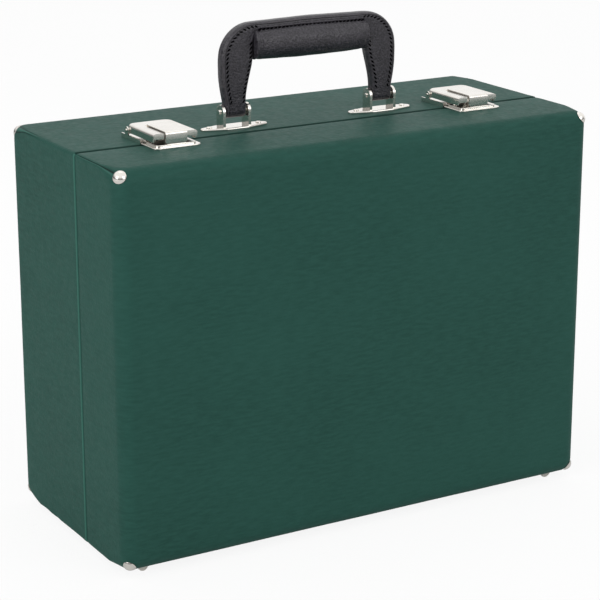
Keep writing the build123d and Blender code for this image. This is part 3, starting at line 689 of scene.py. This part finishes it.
def make_handle_grip():
    """The stuffed round grip: leather drawn round a core, puckered at both ends."""
    around = 56
    rings = []
    stations = [(-46.0, 0.55), (-46.0, 0.80), (-45.7, 0.93), (-45.0, 0.985), (-44.2, 1.0),
                (-43.4, 0.955), (-42.7, 0.95), (-41.8, 0.985), (-40.5, 1.0)]
    stations += [(x, 1.0) for x in spread(-38.0, 38.0, 2.4)]
    stations += [(-x, share) for x, share in stations[8::-1]]
    for x, share in stations:
        swell = grip_radius - (grip_radius - grip_end_radius) * (x / grip_half) ** 2
        pucker = max(0.0, (abs(x) - 34.0) / 12.0)
        ring = []
        for i in range(around):
            angle = 2 * math.pi * i / around
            radius = swell * share - grip_inside
            place = (x * 0.6, 9 * math.cos(angle), 9 * math.sin(angle))
            radius += grip_wave * ripple(place, grip_wave_pitch, 2.0)
            radius += grip_pucker * pucker * math.sin(grip_puckers * angle)
            radius = min(radius, grip_radius)
            ring.append((x, handle_y + radius * math.sin(angle),
                         top + grip_height + radius * math.cos(angle)))
        rings.append(ring)
    grip = add_piece(skin("handle_grip_leather", rings), "handle",
                     handle_leather, ["handle_grip"])
    fine = grip.modifiers.new("fine", "SUBSURF")
    fine.levels = fine.render_levels = 1
    return grip


def stitch_template():
    """A pointed bead, 1 long and 1 across, along X."""
    work = bmesh.new()
    bmesh.ops.create_uvsphere(work, u_segments=8, v_segments=6, radius=0.5)
    points = np.array([(v.co.z, v.co.y, -v.co.x) for v in work.verts])
    faces = [[v.index for v in f.verts] for f in work.faces]
    work.free()
    return points, faces


def row_places(line, pitch):
    """Points a pitch apart along a line of points, with the direction of the line there."""
    places, due = [], pitch / 2
    for a, b in zip(line, line[1:]):
        length = (b - a).length
        while length and due <= length:
            places.append((a.lerp(b, due / length), (b - a).normalized()))
            due += pitch
        due -= length
    return places


def make_handle_stitches():
    """Slanted stitches along both edges of each leg, and one row under the ridge."""
    shape, shape_faces = stitch_template()
    right = subdivided(handle_stations(), 4)
    points, faces = [], []

    def add_row(line, y, facing, slant):
        for place, along in row_places(line, stitch_pitch):
            across = Vector((-along.z, 0, along.x))
            lie = (along * math.cos(slant) + across * math.sin(slant)).normalized()
            side = lie.cross(Vector((0, 1, 0)))
            base = len(points)
            for x, y_, z in shape:
                p = place + lie * x * stitch_length + side * z * stitch_width
                points.append((p.x, handle_y + y + facing * y_ * stitch_height, top + p.z))
            faces.extend([base + i for i in f] for f in shape_faces)

    for mirror in (1, -1):
        outer_row, inner_row = [], []
        for ox, oz, ix, iz in right:
            outer, inner = Vector((ox, 0, oz)), Vector((ix, 0, iz))
            inward = (inner - outer).normalized()
            if oz > leg_row_start and ox > shoulder_row_end:
                outer_row.append(outer + inward * outer_stitch)
            if oz > leg_row_start and iz < 60.0:
                inner_row.append(inner - inward * inner_stitch)
        for line in (outer_row, inner_row):
            line = [Vector((mirror * p.x, 0, p.z)) for p in line]
            for facing in (-1, 1):
                add_row(line, facing * leg_row_lift, facing, leg_slant * mirror)
    under_ridge = [Vector((x, 0, ridge_row_height)) for x in (-ridge_row_half, ridge_row_half)]
    for facing in (-1, 1):
        add_row(under_ridge, facing * ridge_row_lift, facing, ridge_slant)
    add_piece(smooth_mesh("handle_stitches", points, faces), "handle", thread)


# Padding

def soften(node, body, slot, voxel, rounds, swell):
    """A plush-covered copy of a node, with its edges rounded off and a slight unevenness."""
    raw = bpy.data.objects.new("raw", frame["nodes"][node].data.copy())
    bpy.context.scene.collection.objects.link(raw)
    remesh = raw.modifiers.new("voxels", "REMESH")
    remesh.mode = "VOXEL"
    remesh.voxel_size = voxel * MM
    relax = raw.modifiers.new("relax", "SMOOTH")
    relax.factor, relax.iterations = 0.5, rounds
    mesh = final_mesh(raw, node + "_plush")
    bpy.data.objects.remove(raw)
    places = np.array([v.co[:] for v in mesh.vertices])
    normals = np.array([v.normal[:] for v in mesh.vertices])
    moves = [swell + soft_wave * ripple(p, soft_wave_pitch) for p in places / MM]
    mesh.vertices.foreach_set("co", (places + normals * np.array(moves)[:, None] * MM).ravel())
    mesh.update()
    mesh.shade_smooth()
    return add_piece(mesh, body, plush, [node])


def make_lid_pad():
    """The cushion in the lid: puffed up as cloth, then drawn in at its buttons."""
    low, high = (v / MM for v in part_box("lid_pad"))
    low += Vector((pad_side_room, pad_back_room, pad_side_room))
    high -= Vector((pad_side_room, pad_front_room, pad_side_room))
    work = bmesh.new()
    bmesh.ops.create_cube(work, size=1.0)
    for v in work.verts:
        v.co = [((a + b) / 2 + c * (b - a)) * MM for a, b, c in zip(low, high, v.co)]
    mesh = bpy.data.meshes.new("raw_pad")
    work.to_mesh(mesh)
    work.free()
    raw = bpy.data.objects.new("raw_pad", mesh)
    bpy.context.scene.collection.objects.link(raw)
    remesh = raw.modifiers.new("voxels", "REMESH")
    remesh.mode = "VOXEL"
    remesh.voxel_size = pad_voxel * MM
    raw.data = final_mesh(raw, "raw_pad_cells")
    raw.modifiers.clear()
    start = np.array([v.co[:] for v in raw.data.vertices])
    cloth = raw.modifiers.new("cloth", "CLOTH")
    cloth.settings.use_pressure = True
    cloth.settings.uniform_pressure_force = pad_pressure
    cloth.settings.effector_weights.gravity = 0.0
    for number in range(1, pad_frames + 1):
        bpy.context.scene.frame_set(number)
    raw.data = final_mesh(raw, "raw_pad_cloth")
    raw.modifiers.clear()
    bpy.context.scene.frame_set(1)
    mesh = raw.data
    puffed = np.array([v.co[:] for v in mesh.vertices])
    move = puffed - start
    length = np.maximum(np.linalg.norm(move, axis=1, keepdims=True), 1e-9)
    puffed = start + move * np.minimum(1.0, pad_puff_limit * MM / length)
    face = high.y * MM
    is_front = puffed[:, 1] > face - pad_puff_limit * MM
    painted_shade = np.zeros(len(puffed))
    for x, z in pad_buttons():
        distance = np.hypot(puffed[:, 0] - x * MM, puffed[:, 2] - z * MM) / MM
        draw = sum(depth * np.exp(-((distance / radius) ** 2))
                   for depth, radius in (broad_tuft, tight_tuft))
        puffed[:, 1] -= draw * is_front * MM
        # Painted shade in the hollow round each button
        painted_shade = np.maximum(painted_shade, np.exp(-((distance / tuft_shade_radius) ** 2)) * is_front)
    puffed[:, 1] = np.clip(puffed[:, 1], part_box("lid_pad")[0].y + 0.1 * MM,
                           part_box("lid_pad")[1].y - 0.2 * MM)
    mesh.vertices.foreach_set("co", puffed.ravel())
    mesh.attributes.new("painted_shade", "FLOAT", "POINT").data.foreach_set("value", painted_shade)
    mesh.update()
    mesh.shade_smooth()
    mesh.name = "lid_pad_plush"
    bpy.data.objects.remove(raw)
    pad = add_piece(mesh, "lid", plush, ["lid_pad"])
    fine = pad.modifiers.new("fine", "SUBSURF")
    fine.levels = fine.render_levels = 1
    return face / MM


def pad_buttons():
    """Places of the lid pad's buttons, in staggered rows."""
    rows = [(middle + button_row_pitch, 3), (middle, 4), (middle - button_row_pitch, 3)]
    return [((i - (count - 1) / 2) * button_pitch, z) for z, count in rows for i in range(count)]


def make_buttons(face):
    """Covered buttons, sunk in the lid pad."""
    points, faces = [], []
    around = button_sides
    for x, z in pad_buttons():
        base = len(points)
        for radius, height in button_profile:
            for i in range(around):
                angle = 2 * math.pi * i / around
                points.append((x + radius * math.cos(angle), face - button_sink + height,
                               z + radius * math.sin(angle)))
        for r in range(len(button_profile) - 1):
            for i in range(around):
                j = (i + 1) % around
                faces.append((base + r * around + i, base + r * around + j,
                              base + (r + 1) * around + j, base + (r + 1) * around + i))
    add_piece(smooth_mesh("lid_pad_buttons", points, faces), "lid", plush)


# Stage

def make_stage():
    """A pale floor that keeps the shadow, under a white surrounding.

    It is a thin veil to the camera and the lamps, because the open lid hangs below it.
    """
    reach = 9.0
    mesh = bpy.data.meshes.new("floor")
    corners = [(-reach, -reach, 0), (reach, -reach, 0), (reach, reach, 0), (-reach, reach, 0)]
    mesh.from_pydata(corners, [], [(0, 1, 2, 3)])
    floor = bpy.data.objects.new("floor", mesh)
    bpy.context.scene.collection.objects.link(floor)
    made = bpy.data.materials.new("floor")
    n = Nodes(made)
    matt = n.add("BsdfDiffuse", {
        "Color": n.ramp(n.noise(3.0), (0.3, (0.80, 0.80, 0.80)), (0.7, (0.83, 0.83, 0.83))),
    })
    path = n.add("LightPath").outputs
    mirrored = n.math("MULTIPLY", path["Is Glossy Ray"], floor_mirrored)
    seen = n.math("MAXIMUM", n.math("MAXIMUM", path["Is Camera Ray"], mirrored),
                  path["Is Transmission Ray"])
    glow = n.add("Emission", {
        "Color": (1, 1, 1, 1), "Strength": n.math("MULTIPLY", seen, floor_glow),
    })
    pale = n.add("AddShader", {0: matt.outputs[0], 1: glow.outputs[0]})
    clear = n.math("MAXIMUM", n.math("MULTIPLY", path["Is Camera Ray"], floor_clear),
                   path["Is Shadow Ray"])
    veil = n.add("MixShader", {
        0: clear, 1: pale.outputs[0], 2: n.add("BsdfTransparent").outputs[0],
    })
    n.add("OutputMaterial", {"Surface": veil.outputs[0]})
    mesh.materials.append(made)

    world = bpy.data.worlds.new("surroundings")
    bpy.context.scene.world = world
    n = Nodes(world)
    path = n.add("LightPath").outputs
    way = n.add("SeparateXYZ", {0: n.add("TexCoord").outputs["Generated"]}).outputs
    overhead = n.add("MapRange", {0: way["Z"], 1: 0.05, 2: 0.50, 3: 0.0, 4: 1.0}).outputs[0]
    behind = n.math("ADD", n.math("MULTIPLY", way["Y"], 0.8), n.math("MULTIPLY", way["X"], 0.6))
    behind = n.add("MapRange", {0: behind, 1: 0.1, 2: 0.6, 3: 0.0, 4: 1.0}).outputs[0]
    right = n.add("MapRange", {0: way["X"], 1: -0.20, 2: 0.20, 3: 0.0, 4: 1.0}).outputs[0]
    behind = n.math("MULTIPLY", behind, right)
    mirrored = n.math("MAXIMUM", n.math("MAXIMUM", overhead, behind), room_dark)
    glossy = n.math("MAXIMUM", path["Is Glossy Ray"], path["Is Transmission Ray"])
    strength = n.math("MAXIMUM", n.math("MULTIPLY", glossy, mirrored), path["Is Camera Ray"])
    strength = n.math("MAXIMUM", strength, n.math("MULTIPLY", path["Is Diffuse Ray"], room_level))
    shine = n.add("Background", {"Color": (1, 1, 1, 1), "Strength": strength})
    n.add("OutputWorld", {"Surface": shine.outputs[0]})


def add_lamp(name, place, size, power):
    """A soft square lamp that points at the case."""
    lamp = bpy.data.lights.new(name, "AREA")
    lamp.shape, lamp.size, lamp.energy = "SQUARE", size, power
    holder = bpy.data.objects.new(name, lamp)
    bpy.context.scene.collection.objects.link(holder)
    holder.location = place
    holder.rotation_euler = (Vector(lamp_aim) - Vector(place)).to_track_quat("-Z", "Y").to_euler()


def make_camera():
    """The photograph's angle and distance."""
    azimuth, elevation = camera_azimuth, camera_elevation
    away = Vector((math.sin(azimuth) * math.cos(elevation),
                   -math.cos(azimuth) * math.cos(elevation), math.sin(elevation)))
    camera = bpy.data.objects.new("camera", bpy.data.cameras.new("camera"))
    bpy.context.scene.collection.objects.link(camera)
    camera.data.sensor_width = 36.0
    camera.data.lens = camera_lens
    camera.location = camera_place
    camera.rotation_mode = "QUATERNION"
    camera.rotation_quaternion = (-away).to_track_quat("-Z", "Y")
    bpy.context.scene.camera = camera


make_covering("lid_leatherette", "lid", lid_rim, front, "lid_covering")
make_covering("rear_leatherette", "rear_case", rear_rim, back, "rear_covering")
make_lining("lid_lining_plush", "lid", -29.9, -82.0, "lid_lining")
make_lining("rear_lining_plush", "rear_case", -10.6, 82.0, "rear_lining")
make_handle_strap()
make_handle_grip()
make_handle_stitches()
for row in softened:
    soften(*row)
make_buttons(make_lid_pad())

slot_finish = {
    "nickel": nickel, "plain_steel": steel, "plywood": plywood, "leatherette": leatherette,
    "handle_leather": handle_leather, "plush": plush, "plush_padding": plush, "plush_board": plush,
}
for row in frame["record"]["subparts"]:
    node = frame["nodes"][row["node"]]
    node.data.materials.clear()
    node.data.materials.append(slot_finish[row["material_slot"]])

make_stage()
for name, lamp in lamps.items():
    add_lamp(name, *lamp)
make_camera()
bpy.context.scene.view_settings.view_transform = "Standard"
